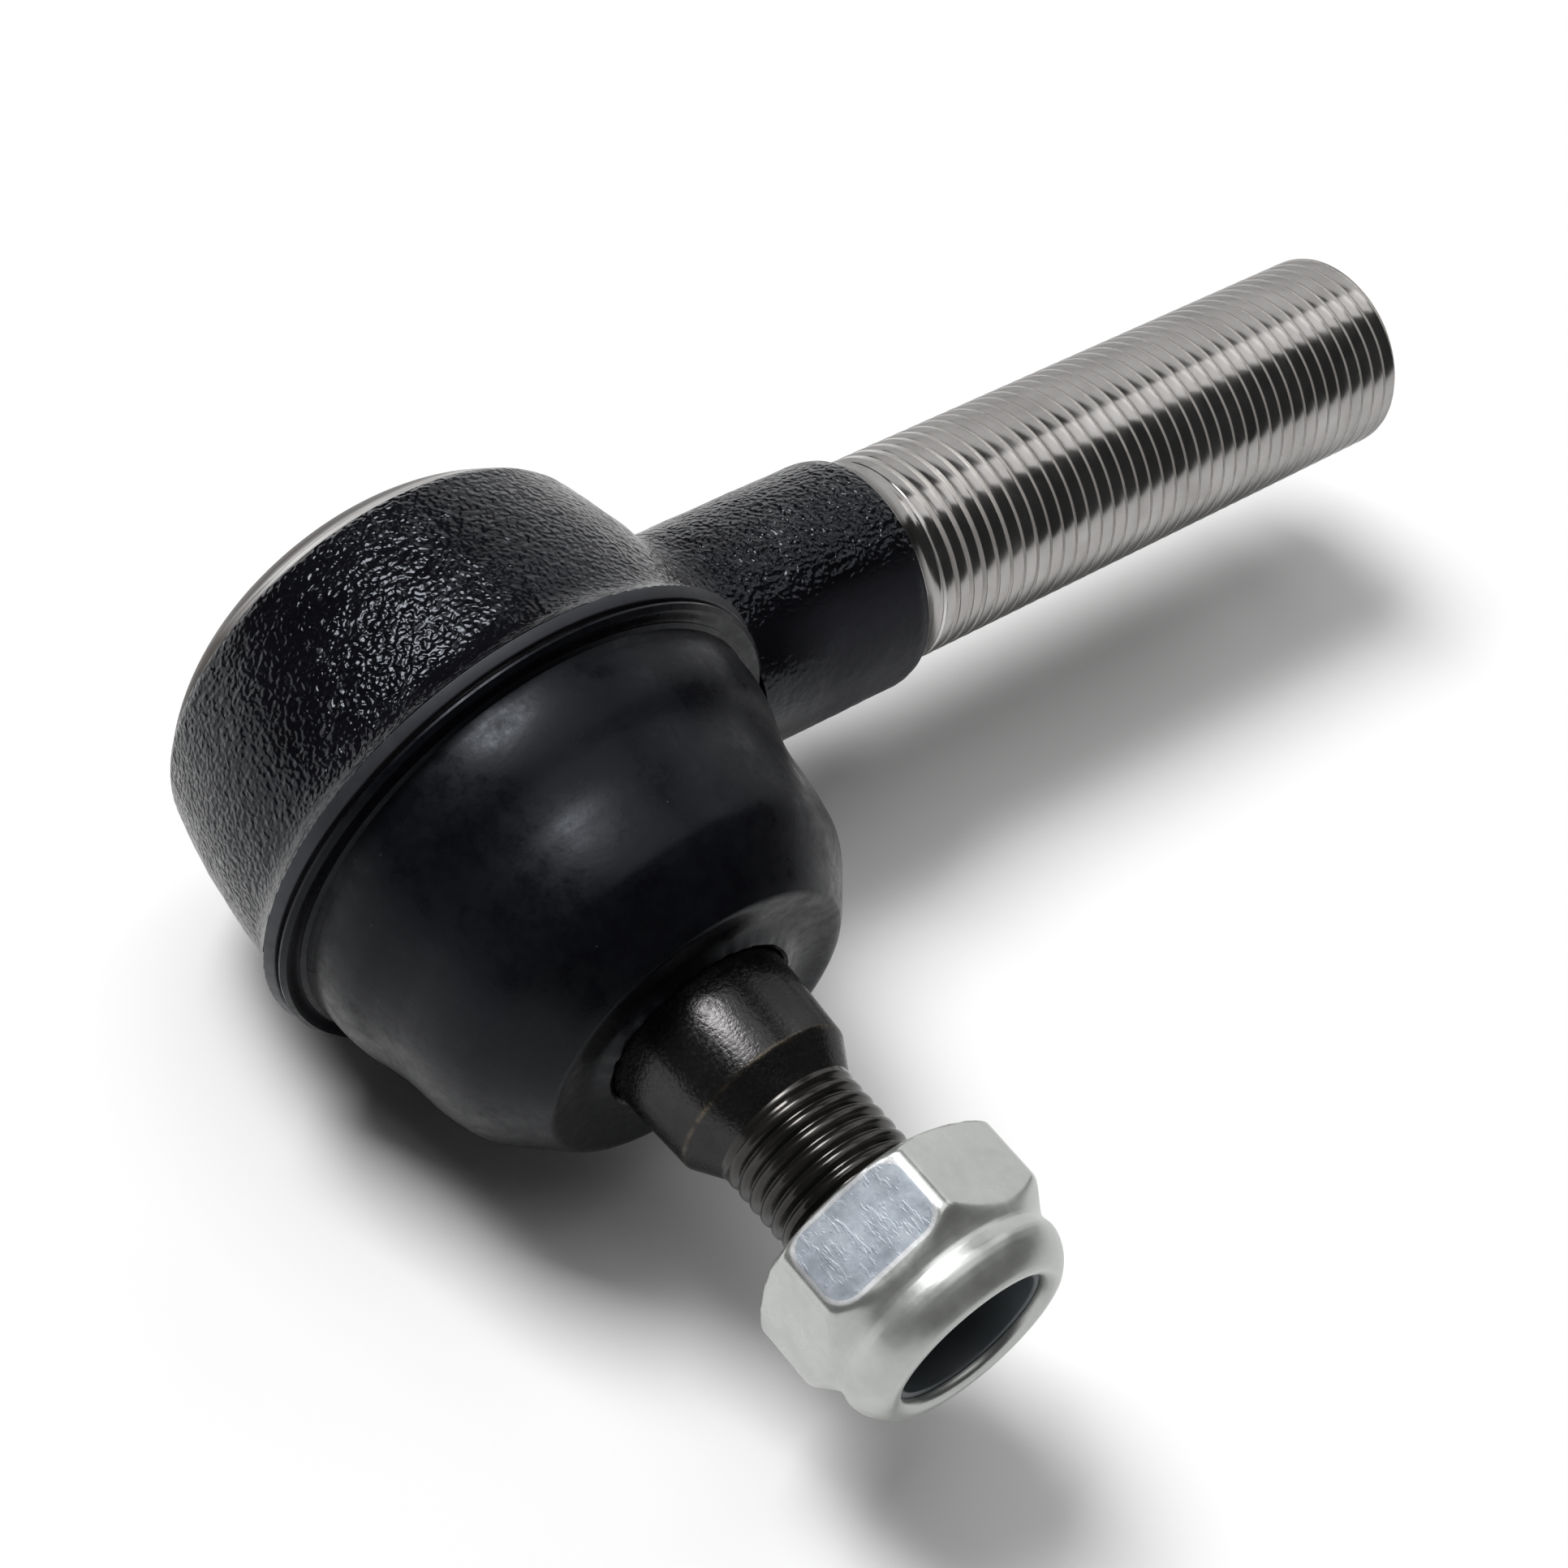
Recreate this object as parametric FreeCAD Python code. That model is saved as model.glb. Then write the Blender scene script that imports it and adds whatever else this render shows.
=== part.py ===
import FreeCAD, Part
import math
import os

# Tie rod end: a threaded shank along +X, and a ball stud along -Y that leaves
# the housing through a rubber boot.  The origin is the centre of the ball and
# +Z is up when the part lies on its side.  All sizes are millimetres.
#
# "s" is the distance from the ball's centre along the stud, so s grows towards
# -Y.  "x" is the distance from the ball's centre along the shank.

Vector = FreeCAD.Vector
ORIGIN = Vector(0, 0, 0)
STUD_LINE = Vector(0, 1, 0)
SHANK_LINE = Vector(1, 0, 0)

# Ball and its seats
BALL_R = 11.0
BALL_GAP = 0.06
SEAT_R = 15.4
SEAT_GAP = 0.05
SEAT_SPLIT_S = -3.0
SEAT_CORNER_S = 3.2
SEAT_CORNER = 1.0
SEAT_LIP_S = 6.2
SEAT_LIP_R = 10.0
PAD_BOSS_WALL = 0.7
PAD_BOSS_R = 8.0
PAD_SHELF_S = -8.2
PAD_SHELF_R = 12.4
PAD_SHOULDER_S = -7.6
PAD_SHOULDER_R = 13.8

# Housing head, a barrel about the stud's axis
RIM_S = -13.9
RIM_R = 16.2
RIM_MID_S = -12.1
RIM_MID_R = 18.3
COAT_EDGE_S = -10.2
COAT_EDGE_R = 19.8
BARREL_MID_R = 21.0
BARREL_MID_S = -4.0
BARREL_END_R = 21.5
BARREL_END_S = 3.2
FLARE_MID_R = 21.8
FLARE_MID_S = 5.0
FLANGE_R = 22.9
FLANGE_S = 6.8
HEAD_FACE_R = 22.5
HEAD_FACE_S = 7.7
RECESS_R = 21.7
RECESS_S = 7.2
SPIGOT_R = 18.0
SPIGOT_S = 9.2
BOOT_ROOM_R = 22.9
BOOT_ROOM_S = 14.0
MOUTH_R = 10.5
MOUTH_FLARE_R = 12.4
CUT_MARGIN = 0.01

# End plug, rolled into the rim
PLUG_R = 17.2
PLUG_EDGE_S = -10.3
PLUG_T = 1.4
PLUG_DOME_R = 13.0
PLUG_DOME_IN_R = 12.1
PLUG_RISE = 3.4
LIP_R = 15.6
SEAL_WIRE_R = 0.6

# Disc spring between the plug and the pressure pad
SPRING_IN_R = 8.6
SPRING_OUT_R = 12.0
SPRING_T = 0.6
SPRING_CONE = 1.7

# Neck and threaded shank, about the shank's axis
NECK_R = 10.05
NECK_END_X = 39.7
NECK_ROUND = 0.7
NECK_ROUND_MID_X = 39.5
NECK_ROUND_MID_R = 9.99
NECK_END_R = 9.84
NECK_FLARE_ROOT_X = 18.2
NECK_FLARE_X = 19.2
NECK_FLARE_R = 11.25
NECK_FLARE_MID_X = 21.6
NECK_FLARE_MID_R = 10.386
NECK_FLARE_END_X = 24.0
RELIEF_R = 9.1
RELIEF_X = 41.0
SHANK_R = 8.95
SHANK_PITCH = 1.5
SHANK_CREST_X = 42.0
SHANK_THREAD_X = 42.2
SHANK_TURNS = 37
SHANK_END_X = 98.9
SHANK_CHAMFER = 1.0

# Ball stud
STUD_NECK_R = 6.2
STUD_NECK_S = 15.0
TAPER_START_S = 22.0
TAPER_END_S = 37.3
TAPER_END_R = 7.45
TAPER_SLOPE = 0.05
SHOULDER_S = 39.9
STUD_R = 5.9
STUD_PITCH = 1.25
STUD_THREAD_S = 40.6
STUD_TURNS = 12
STUD_END_S = 57.0
STUD_CHAMFER = 1.0

# Boot, with a steel ring at each end
BOOT_WALL = 1.6
BOOT_FOOT_S = 8.05
BOOT_FOOT_R = 22.45
BOOT_FOOT_T = 0.9
BOOT_FOOT_ROUND = 0.3
BOWL_ROOT_R = 20.5
BOWL_ROOT_ROUND = 0.6
BOWL_LOW_R = 20.4
BOWL_LOW_S = 11.8
BOWL_START_R = 19.95
BOWL_START_S = 14.0
BOWL_SIDE_R = 18.95
BOWL_SIDE_S = 16.9
BOWL_R = 18.5
BOWL_S = 20.0
BOWL_CROWN_R = 17.2
BOWL_CROWN_S = 25.0
CROWN_IN_R = 15.7
CROWN_IN_S = 23.0
BOOT_END_S = 29.6
BOOT_END_R = 13.0
BOOT_END_ROUND = 0.3
BOOT_LIP_IN_R = 11.0
BOOT_LIP_IN_S = 24.6
BOOT_FOOT_IN_S = 11.0
BOOT_BORE_R = 8.3
BORE_EASE = 0.2
BASE_RING_R = 21.5
BASE_RING_T = 0.7
BASE_HUB_R = 19.0
BASE_HUB_S = 10.4
BASE_FIT_GAP = 0.05
NECK_RING_IN_R = 8.5
NECK_RING_OUT_R = 10.2
NECK_RING_S = 25.2
NECK_RING_END_S = 28.4
SOFT_GAP = 0.1

# Lock nut with a nylon insert
NUT_FLATS = 19.0
NUT_TURN_DEG = 36.5
NUT_BASE_S = 49.2
NUT_BASE_R = 9.2
NUT_CHAMFER = 1.0
NUT_CORNER_R = 11.2
NUT_CROWN_S = 54.8
NUT_COLLAR_R = 9.5
NUT_COLLAR_S = 58.4
NUT_ROLL_R = 9.0
NUT_ROLL_S = 60.2
NUT_TOP_R = 7.8
NUT_TOP_S = 61.4
NUT_LIP_R = 7.1
NUT_LIP_S = 61.3
NUT_MOUTH_R = 6.5
NUT_MOUTH_S = 60.6
NUT_BORE_R = 6.05
NUT_LEAD_IN = 0.9
INSERT_GAP = 0.05
INSERT_S = 57.6
INSERT_END_S = 60.5
INSERT_R = 7.85
INSERT_BORE_R = 6.0
NUT_GROOVE_S = 57.2

# Thread form shared by all the grooved threads
CREST_SHARE = 0.45
ROOT_SHARE = 0.10
GROOVE_SHARE = 0.42


def stud_point(r, s):
    """A point of a section about the stud's axis."""
    return Vector(r, -s, 0)


def shank_point(x, r):
    """A point of a section about the shank's axis."""
    return Vector(x, r, 0)


def section(place, start, steps):
    """Closed face through start and steps; a step of four numbers is an arc: its middle, then its end."""
    here = place(*start)
    first = here
    edges = []
    for step in steps:
        end = place(*step[-2:])
        if len(step) == 4:
            edges.append(Part.Arc(here, place(*step[:2]), end).toShape())
        else:
            edges.append(Part.LineSegment(here, end).toShape())
        here = end
    edges.append(Part.LineSegment(here, first).toShape())
    return Part.Face(Part.Wire(edges))


def turned(place, start, steps):
    """Solid of revolution of a section about the axis that its place function belongs to."""
    axis = STUD_LINE if place is stud_point else SHANK_LINE
    return section(place, start, steps).revolve(ORIGIN, axis, 360)


def ring(inner, outer, low, high):
    """Plain ring about the stud's axis."""
    return turned(stud_point, (inner, low), [(outer, low), (outer, high), (inner, high)])


def grooves(start, turns, pitch, crest_r):
    """Crest and groove corners of a thread, as (distance along the axis, radius)."""
    depth = pitch * GROOVE_SHARE
    flank = pitch * (1 - CREST_SHARE - ROOT_SHARE) / 2
    corners = []
    for turn in range(turns):
        base = start + turn * pitch
        corners.append((base, crest_r))
        corners.append((base + flank, crest_r - depth))
        corners.append((base + flank + pitch * ROOT_SHARE, crest_r - depth))
        corners.append((base + 2 * flank + pitch * ROOT_SHARE, crest_r))
    return corners


def sphere(radius):
    """Sphere at the ball's centre."""
    return Part.makeSphere(radius)


def head():
    """Barrel of the housing, with the boot's flange, its spigot and the rounded bare rim."""
    return turned(stud_point, (0, RIM_S), [
        (RIM_R, RIM_S),
        (RIM_MID_R, RIM_MID_S, COAT_EDGE_R, COAT_EDGE_S),
        (BARREL_MID_R, BARREL_MID_S, BARREL_END_R, BARREL_END_S),
        (FLARE_MID_R, FLARE_MID_S, FLANGE_R, FLANGE_S),
        (HEAD_FACE_R, HEAD_FACE_S),
        (SPIGOT_R, HEAD_FACE_S),
        (SPIGOT_R, SPIGOT_S),
        (0, SPIGOT_S),
    ])


def neck():
    """Round neck from inside the head to the turned relief at the start of the thread."""
    return turned(shank_point, (0, 0), [
        (0, NECK_R),
        (NECK_FLARE_ROOT_X, NECK_R),
        (NECK_FLARE_X, NECK_FLARE_R),
        (NECK_FLARE_MID_X, NECK_FLARE_MID_R, NECK_FLARE_END_X, NECK_R),
        (NECK_END_X - NECK_ROUND, NECK_R),
        (NECK_ROUND_MID_X, NECK_ROUND_MID_R, NECK_END_X, NECK_END_R),
        (RELIEF_X, RELIEF_R),
        (RELIEF_X, 0),
    ])


def threaded_shank():
    """Shank with a thread of flat crests, a plain start and a chamfered end."""
    steps = [(RELIEF_X, RELIEF_R), (SHANK_CREST_X, SHANK_R)]
    steps += grooves(SHANK_THREAD_X, SHANK_TURNS, SHANK_PITCH, SHANK_R)
    steps += [
        (SHANK_END_X - SHANK_CHAMFER, SHANK_R),
        (SHANK_END_X, SHANK_R - SHANK_CHAMFER),
        (SHANK_END_X, 0),
    ]
    return turned(shank_point, (RELIEF_X, 0), steps)


def cavity():
    """Everything that is cut out of the head: plug seat, bore for the seats, and mouth."""
    bore_r = SEAT_R + SEAT_GAP
    above_rim_s = RIM_S - 1
    return turned(stud_point, (0, above_rim_s), [
        (LIP_R, above_rim_s),
        (LIP_R, PLUG_EDGE_S),
        (PLUG_R, PLUG_EDGE_S),
        (PLUG_R, PLUG_EDGE_S + PLUG_T),
        (bore_r, PLUG_EDGE_S + PLUG_T),
        (bore_r, SEAT_CORNER_S),
        (bore_r - SEAT_CORNER, SEAT_LIP_S + SEAT_GAP),
        (MOUTH_R, SEAT_LIP_S + SEAT_GAP),
        (MOUTH_FLARE_R, SPIGOT_S + CUT_MARGIN),
        (0, SPIGOT_S + CUT_MARGIN),
    ])


def boot_room():
    """Space machined away around the mouth, for the boot and its ring."""
    return turned(stud_point, (0, SPIGOT_S), [
        (SPIGOT_R, SPIGOT_S),
        (SPIGOT_R, RECESS_S),
        (RECESS_R, RECESS_S),
        (RECESS_R, HEAD_FACE_S),
        (BOOT_ROOM_R, HEAD_FACE_S),
        (BOOT_ROOM_R, BOOT_ROOM_S),
        (0, BOOT_ROOM_S),
    ])


def housing():
    """Forged head and neck in one piece with the threaded shank."""
    body = head().fuse(neck()).cut(boot_room())
    body = body.fuse(threaded_shank())
    return body.cut(cavity())


def dome_middle(edge_r, rise, base_s):
    """Point halfway out on a round dome that stands on base_s and rises towards -s."""
    sphere_r = (edge_r ** 2 + rise ** 2) / (2 * rise)
    half_r = edge_r / 2
    return half_r, base_s - rise + sphere_r - math.sqrt(sphere_r ** 2 - half_r ** 2)


def end_plug():
    """Pressed cover that closes the head, domed outwards."""
    inner_s = PLUG_EDGE_S + PLUG_T
    return turned(stud_point, (0, PLUG_EDGE_S - PLUG_RISE), [
        (*dome_middle(PLUG_DOME_R, PLUG_RISE, PLUG_EDGE_S), PLUG_DOME_R, PLUG_EDGE_S),
        (PLUG_R, PLUG_EDGE_S),
        (PLUG_R, inner_s),
        (PLUG_DOME_IN_R, inner_s),
        (*dome_middle(PLUG_DOME_IN_R, PLUG_RISE, inner_s), 0, inner_s - PLUG_RISE),
    ])


def plug_seal_ring():
    """Round sealing ring in the corner between the plug and the bearing's bore."""
    centre = stud_point(SEAT_R - SEAL_WIRE_R - SOFT_GAP, PLUG_EDGE_S + PLUG_T + SEAL_WIRE_R)
    circle = Part.Edge(Part.Circle(centre, Vector(0, 0, 1), SEAL_WIRE_R))
    return Part.Face(Part.Wire([circle])).revolve(ORIGIN, STUD_LINE, 360)


def preload_spring():
    """Disc spring that presses the pad on the ball."""
    inner_s = PAD_SHELF_S - SPRING_CONE
    return turned(stud_point, (SPRING_IN_R, inner_s), [
        (SPRING_IN_R, inner_s - SPRING_T),
        (SPRING_OUT_R, PAD_SHELF_S - SPRING_T),
        (SPRING_OUT_R, PAD_SHELF_S),
    ])


def pressure_pad():
    """Upper half of the bearing: a boss over the ball and a shelf for the spring."""
    boss = BALL_R + BALL_GAP + PAD_BOSS_WALL
    half_r = PAD_BOSS_R / 2
    pad = turned(stud_point, (0, -boss), [
        (half_r, -math.sqrt(boss ** 2 - half_r ** 2), PAD_BOSS_R, -math.sqrt(boss ** 2 - PAD_BOSS_R ** 2)),
        (PAD_BOSS_R, PAD_SHELF_S),
        (PAD_SHELF_R, PAD_SHELF_S),
        (PAD_SHOULDER_R, PAD_SHOULDER_S),
        (SEAT_R, PAD_SHOULDER_S),
        (SEAT_R, SEAT_SPLIT_S - SEAT_GAP),
        (0, SEAT_SPLIT_S - SEAT_GAP),
    ])
    return pad.cut(sphere(BALL_R + BALL_GAP))


def bearing_seat():
    """Lower half of the bearing, which carries the ball above the mouth."""
    seat = turned(stud_point, (SEAT_LIP_R, SEAT_SPLIT_S), [
        (SEAT_R, SEAT_SPLIT_S),
        (SEAT_R, SEAT_CORNER_S),
        (SEAT_R - SEAT_CORNER, SEAT_LIP_S),
        (SEAT_LIP_R, SEAT_LIP_S),
    ])
    return seat.cut(sphere(BALL_R + BALL_GAP))


def ball_stud():
    """Ball, neck, taper and threaded end in one piece."""
    taper_start_r = TAPER_END_R + TAPER_SLOPE * (TAPER_END_S - TAPER_START_S)
    neck_s = math.sqrt(BALL_R ** 2 - STUD_NECK_R ** 2)
    steps = [
        (BALL_R, 0.0, STUD_NECK_R, neck_s),
        (STUD_NECK_R, STUD_NECK_S),
        (taper_start_r, TAPER_START_S),
        (TAPER_END_R, TAPER_END_S),
        (STUD_R, SHOULDER_S),
    ]
    for along, radius in grooves(STUD_THREAD_S, STUD_TURNS, STUD_PITCH, STUD_R):
        steps.append((radius, along))
    steps += [
        (STUD_R, STUD_END_S - STUD_CHAMFER),
        (STUD_R - STUD_CHAMFER, STUD_END_S),
        (0, STUD_END_S),
    ]
    return turned(stud_point, (0, -BALL_R), steps)


def boot_outside():
    """Outer side of the boot's section, from its foot to its end on the stud."""
    foot_top = BOOT_FOOT_S + BOOT_FOOT_T
    return [
        (BOOT_FOOT_R, BOOT_FOOT_S),
        (BOOT_FOOT_R, foot_top - BOOT_FOOT_ROUND),
        (BOOT_FOOT_R - BOOT_FOOT_ROUND, foot_top),
        (BOWL_ROOT_R + BOWL_ROOT_ROUND, foot_top),
        (BOWL_ROOT_R, foot_top + BOWL_ROOT_ROUND),
        (BOWL_LOW_R, BOWL_LOW_S, BOWL_START_R, BOWL_START_S),
        (BOWL_SIDE_R, BOWL_SIDE_S, BOWL_R, BOWL_S),
        (BOWL_CROWN_R, BOWL_CROWN_S, BOOT_END_R + BOOT_END_ROUND, BOOT_END_S - BOOT_END_ROUND),
        (BOOT_END_R, BOOT_END_S),
        (BOOT_BORE_R, BOOT_END_S),
    ]


def boot_inside():
    """Inner side of the boot's section, with the room for the neck ring."""
    ring_room_r = NECK_RING_OUT_R + SOFT_GAP
    return [
        (BOOT_BORE_R, NECK_RING_END_S + SOFT_GAP),
        (ring_room_r, NECK_RING_END_S + SOFT_GAP),
        (ring_room_r, NECK_RING_S - SOFT_GAP),
        (BOOT_BORE_R, NECK_RING_S - SOFT_GAP),
        (BOOT_BORE_R + BORE_EASE, BOOT_LIP_IN_S - BOOT_END_ROUND),
        (BOOT_LIP_IN_R, BOOT_LIP_IN_S),
        (CROWN_IN_R, CROWN_IN_S, BOWL_R - BOOT_WALL, BOWL_S),
        (BOWL_SIDE_R - BOOT_WALL, BOWL_SIDE_S, BOWL_START_R - BOOT_WALL, BOWL_START_S),
        (BASE_HUB_R + SOFT_GAP, BOOT_FOOT_IN_S),
    ]


def boot():
    """Bowl-shaped rubber boot, with a foot on the head and a thick neck on the stud."""
    return turned(stud_point, (BASE_HUB_R + SOFT_GAP, BOOT_FOOT_S), boot_outside() + boot_inside())


def boot_base_ring():
    """Steel ring, with a hub, that holds the boot's foot on the spigot."""
    inner_r = SPIGOT_R + BASE_FIT_GAP
    return turned(stud_point, (inner_r, RECESS_S), [
        (BASE_RING_R, RECESS_S),
        (BASE_RING_R, RECESS_S + BASE_RING_T),
        (BASE_HUB_R, RECESS_S + BASE_RING_T),
        (BASE_HUB_R, BASE_HUB_S),
        (inner_r, BASE_HUB_S),
    ])


def boot_neck_ring():
    """Steel ring inside the boot's neck."""
    return ring(NECK_RING_IN_R, NECK_RING_OUT_R, NECK_RING_S, NECK_RING_END_S)


def hexagon():
    """Hexagonal blank of the nut."""
    corner_r = NUT_FLATS / 2 / math.cos(math.radians(30))
    corners = []
    for side in range(7):
        angle = math.radians(NUT_TURN_DEG + 60 * side)
        corners.append(Vector(corner_r * math.cos(angle), -NUT_BASE_S, corner_r * math.sin(angle)))
    blank = Part.Face(Part.makePolygon(corners))
    return blank.extrude(Vector(0, NUT_BASE_S - NUT_TOP_S, 0))


def nut_envelope():
    """Turned shape that chamfers the hexagon and carries the domed collar."""
    return turned(stud_point, (0, NUT_BASE_S), [
        (NUT_BASE_R, NUT_BASE_S),
        (NUT_CORNER_R, NUT_BASE_S + NUT_CHAMFER),
        (NUT_CORNER_R, NUT_CROWN_S),
        (NUT_COLLAR_R, NUT_COLLAR_S),
        (NUT_ROLL_R, NUT_ROLL_S, NUT_TOP_R, NUT_TOP_S),
        (NUT_LIP_R, NUT_LIP_S, NUT_MOUTH_R, NUT_MOUTH_S),
        (0, NUT_MOUTH_S),
    ])


def lock_nut():
    """Hexagon nut whose collar is rolled over a nylon insert."""
    nut = hexagon().common(nut_envelope())
    bore = turned(stud_point, (0, NUT_BASE_S), [
        (NUT_BORE_R + NUT_LEAD_IN, NUT_BASE_S),
        (NUT_BORE_R, NUT_BASE_S + NUT_LEAD_IN),
        (NUT_BORE_R, NUT_GROOVE_S),
        (INSERT_R + INSERT_GAP, NUT_GROOVE_S),
        (INSERT_R + INSERT_GAP, INSERT_END_S + INSERT_GAP),
        (NUT_MOUTH_R, INSERT_END_S + INSERT_GAP),
        (NUT_MOUTH_R, NUT_TOP_S),
        (0, NUT_TOP_S),
    ])
    return nut.cut(bore)


def lock_nut_insert():
    """Nylon ring held in the nut's collar."""
    return ring(INSERT_BORE_R, INSERT_R, INSERT_S, INSERT_END_S)


PARTS = {
    "housing": housing,
    "end_plug": end_plug,
    "plug_seal_ring": plug_seal_ring,
    "preload_spring": preload_spring,
    "pressure_pad": pressure_pad,
    "bearing_seat": bearing_seat,
    "ball_stud": ball_stud,
    "boot": boot,
    "boot_base_ring": boot_base_ring,
    "boot_neck_ring": boot_neck_ring,
    "lock_nut": lock_nut,
    "lock_nut_insert": lock_nut_insert,
}

os.makedirs("parts", exist_ok=True)
for node, make in PARTS.items():
    shape = make()
    if shape.ShapeType != "Solid":
        shape = shape.Solids[0]
    print(node, "valid", shape.isValid(), "volume", round(shape.Volume, 1))
    shape.exportStep("parts/" + node + ".step")
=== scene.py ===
import math

import bmesh
import bpy
import numpy as np
from mathutils import Matrix, Vector, noise


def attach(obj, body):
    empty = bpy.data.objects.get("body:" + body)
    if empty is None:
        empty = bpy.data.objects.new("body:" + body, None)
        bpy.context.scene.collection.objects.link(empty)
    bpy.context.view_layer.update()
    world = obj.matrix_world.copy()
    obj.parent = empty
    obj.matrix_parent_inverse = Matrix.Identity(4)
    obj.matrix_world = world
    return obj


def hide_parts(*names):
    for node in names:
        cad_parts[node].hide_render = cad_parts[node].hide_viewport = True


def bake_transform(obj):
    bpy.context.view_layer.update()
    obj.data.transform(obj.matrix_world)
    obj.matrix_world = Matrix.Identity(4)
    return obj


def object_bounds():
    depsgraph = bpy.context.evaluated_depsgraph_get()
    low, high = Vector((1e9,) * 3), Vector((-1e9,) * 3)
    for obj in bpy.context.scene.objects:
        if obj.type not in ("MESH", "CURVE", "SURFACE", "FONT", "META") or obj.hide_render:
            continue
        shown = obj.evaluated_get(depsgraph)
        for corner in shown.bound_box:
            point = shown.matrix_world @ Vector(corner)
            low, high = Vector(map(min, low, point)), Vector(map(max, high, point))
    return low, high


# Looks of the tie rod end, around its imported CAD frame. Lengths are in mm, and in
# metres in the studio section. "s" is the distance from the ball's centre along
# the stud, towards -Y, and "x" is the distance along the shank. A name that ends
# in _R, _S or _X is a radius, an s or an x.

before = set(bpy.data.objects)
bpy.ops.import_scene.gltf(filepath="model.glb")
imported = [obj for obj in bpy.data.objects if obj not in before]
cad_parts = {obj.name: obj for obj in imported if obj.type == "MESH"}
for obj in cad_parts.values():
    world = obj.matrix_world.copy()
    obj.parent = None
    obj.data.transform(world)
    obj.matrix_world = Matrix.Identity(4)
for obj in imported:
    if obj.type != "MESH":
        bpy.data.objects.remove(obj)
CAD_BOX = [list(corner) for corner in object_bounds()]
MM = 0.001

# Camera: its place in mm, the directions it looks in and has on its right, and its lens
CAMERA_PLACE = (-125.36, -123.00, 203.68)
CAMERA_FORWARD = (0.5342, 0.3961, -0.7468)
CAMERA_RIGHT = (0.7548, -0.6214, 0.2103)
CAMERA_LENS, CAMERA_SENSOR = 80.0, 36.0

# Housing: rim, end plug, flange, mouth, neck and relief
RIM_S, COAT_EDGE_S = -13.9, -10.75
RIM_R, COAT_EDGE_R = 16.2, 19.42
RIM_MIDDLE = (18.3, -12.1)
RIM_CHAMFER = 0.35
LIP_R, PLUG_R, PLUG_EDGE_S, PLUG_SEAT_S = 15.6, 17.2, -10.3, -8.9
DOME_R, DOME_IN_R, DOME_RISE = 13.0, 12.1, 3.4
BARREL_S = (-12.0, -10.75, -10.2, -7.2, -4.0, -0.5, 3.2)
BARREL_R = (18.62, 19.48, 19.8, 20.45, 21.0, 21.35, 21.5)
FLARE_LENGTH, FLARE_RISE, FLARE_POWER = 3.6, 1.4, 2.4
BAND_S, FACE_S, BAND_R, FACE_R = 6.8, 7.7, 22.9, 22.5
GROOVE_R, GROOVE_S, SPIGOT_R, SPIGOT_S = 21.7, 7.2, 18.0, 9.2
MOUTH_R, THROAT_R, THROAT_S, THROAT_SEAT_R, MOUTH_END_S = 12.4, 10.5, 6.25, 14.45, 3.2
SEAT_BORE_R = 15.45
NECK_R, NECK_START_X, NECK_END_X, NECK_ROUND, NECK_DROP = 10.05, 4.0, 39.7, 0.7, 0.21
BOOT_ROOM_R, BOOT_ROOM_S = 22.56, 14.0
COLLAR_R, COLLAR_EDGE_R = 9.80, 9.62
RELIEF_X, RELIEF_R = 41.0, 9.1

# Casting: voxel of its remesh, reach and strength of the fillet where the neck meets the
# head, layers of its skin as (waves per mm, shift, height), and the cutters' sizes
CASTING_VOXEL = 0.34
CASTING_SNAP, SEAM_NEAR, SEAM_FAR, SEAM_ROUNDS, SEAM_STEP = 0.35, 2.0, 4.2, 120, 0.6
SKIN_COARSE, SKIN_GRAIN, SKIN_RIDGE = (0.30, 0, 0.05), (1.25, 0, 0.036), (0.95, 40, 0.032)
HEAD_TRIM_R, NECK_TRIM_R, NECK_TRIM = 26, 14, 4

# Further out than any point of the part
FAR = 99.0

# Threads: crests are shares of the pitch
SHANK_R, SHANK_PITCH, SHANK_START_X, SHANK_END_X = 8.95, 1.5, 42.0, 98.9
STUD_R, STUD_PITCH, STUD_START_S, STUD_END_S = 5.9, 1.25, 40.1, 57.0
SHANK_CREST, SHANK_DEPTH, SHANK_SWELL = 0.80, 0.40, 0.03
SHANK_OPEN_CREST, SHANK_OPEN_DEPTH, SHANK_OPEN_X = 0.60, 0.62, 54.0
STUD_CREST, STUD_DEPTH, STUD_SWELL = 0.36, 0.46, 0.05
THREAD_ROOT = 0.06
# Radii below which the flanks are brighter steel and the groove bottoms get painted shade
FLANK_R, GROOVE_SHADE_R = 8.90, 8.46

# Ball stud
BALL_R, STUD_NECK_R, STUD_NECK_S = 11.0, 6.2, 15.0
TAPER_START_S, TAPER_END_S, TAPER_END_R, TAPER_SLOPE = 22.0, 37.3, 7.45, 0.05
SHOULDER_S = 39.9

# Boot
FOOT_S, FOOT_R, FOOT_T, HUB_R = 8.05, 22.45, 0.9, 19.1
BOWL_FOOT_R, BOWL_R, BOWL_S = 20.5, 18.5, 20.0
BOWL_LINE = ((20.5, 9.65), (20.4, 11.8), (20.0, 13.8), (19.25, 15.9), (18.75, 17.9),
             (18.5, 19.9), (18.2, 21.9), (17.7, 23.9), (17.2, 25.0), (16.5, 26.0),
             (15.7, 27.0), (14.85, 28.0), (14.05, 28.95), (13.5, 29.5))
CROWN_LINE = ((7.96, 29.1), (8.12, 28.0), (8.3, 26.0), (8.45, 25.1), (9.2, 24.2), (11.0, 24.4))
BOOT_END_R, BOOT_END_S, BOOT_SPLIT_S, BOOT_STIFF_S = 13.0, 29.6, 18.2, 26.0
BOOT_WALL, BOOT_LEAN, LEAN_X, LEAN_Z, LIP_FRAY = 1.6, 0.3, 0.81, 0.58, 0.16

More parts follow.
